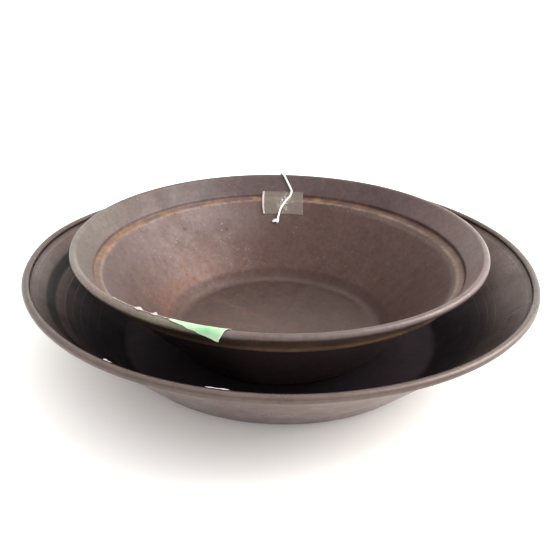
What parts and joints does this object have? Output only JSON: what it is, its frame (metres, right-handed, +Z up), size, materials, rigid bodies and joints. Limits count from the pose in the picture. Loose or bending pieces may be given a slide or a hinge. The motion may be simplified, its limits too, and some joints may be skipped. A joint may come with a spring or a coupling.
{
  "type": "gold pan",
  "caption": "Round pressed-steel gold panning dish with sloping sides, flat base and wired rolled rim, holding a smaller grooved pan that lifts out.",
  "frame": {"origin": "centre of the large pan's underside, on the surface it stands on", "axes": "+Z up along both pans' common axis; the string and clear tape are at +Y (back), the green tape towards -Y (front)"},
  "size_m": [0.457, 0.457, 0.1055],
  "materials": {
    "large_pan_steel": "dark brown patina with dull rust, satin",
    "small_pan_steel": "brown rust patina, orange rust in the groove, satin",
    "rim_wire_steel": "rusty drawn wire",
    "green_tape": "matt creped paper tape",
    "white_tape": "matt torn paper",
    "clear_tape": "clear glossy film, wrinkled",
    "string": "matt twisted cotton"
  },
  "bodies": {
    "large_pan": {"large_pan": "large_pan_steel", "large_rim_wire": "rim_wire_steel", "rim_tape_scraps": "white_tape"},
    "small_pan": {"small_pan": "small_pan_steel", "small_rim_wire": "rim_wire_steel", "masking_tape_flap": "green_tape", "torn_tape_edge": "white_tape", "clear_tape": "clear_tape", "string": "string"}
  },
  "joints": [
    {"name": "small_pan_lift", "type": "slide", "parent": "large_pan", "child": "small_pan", "axis": [0, 0, 1], "range_m": [0, 0.12]}
  ]
}
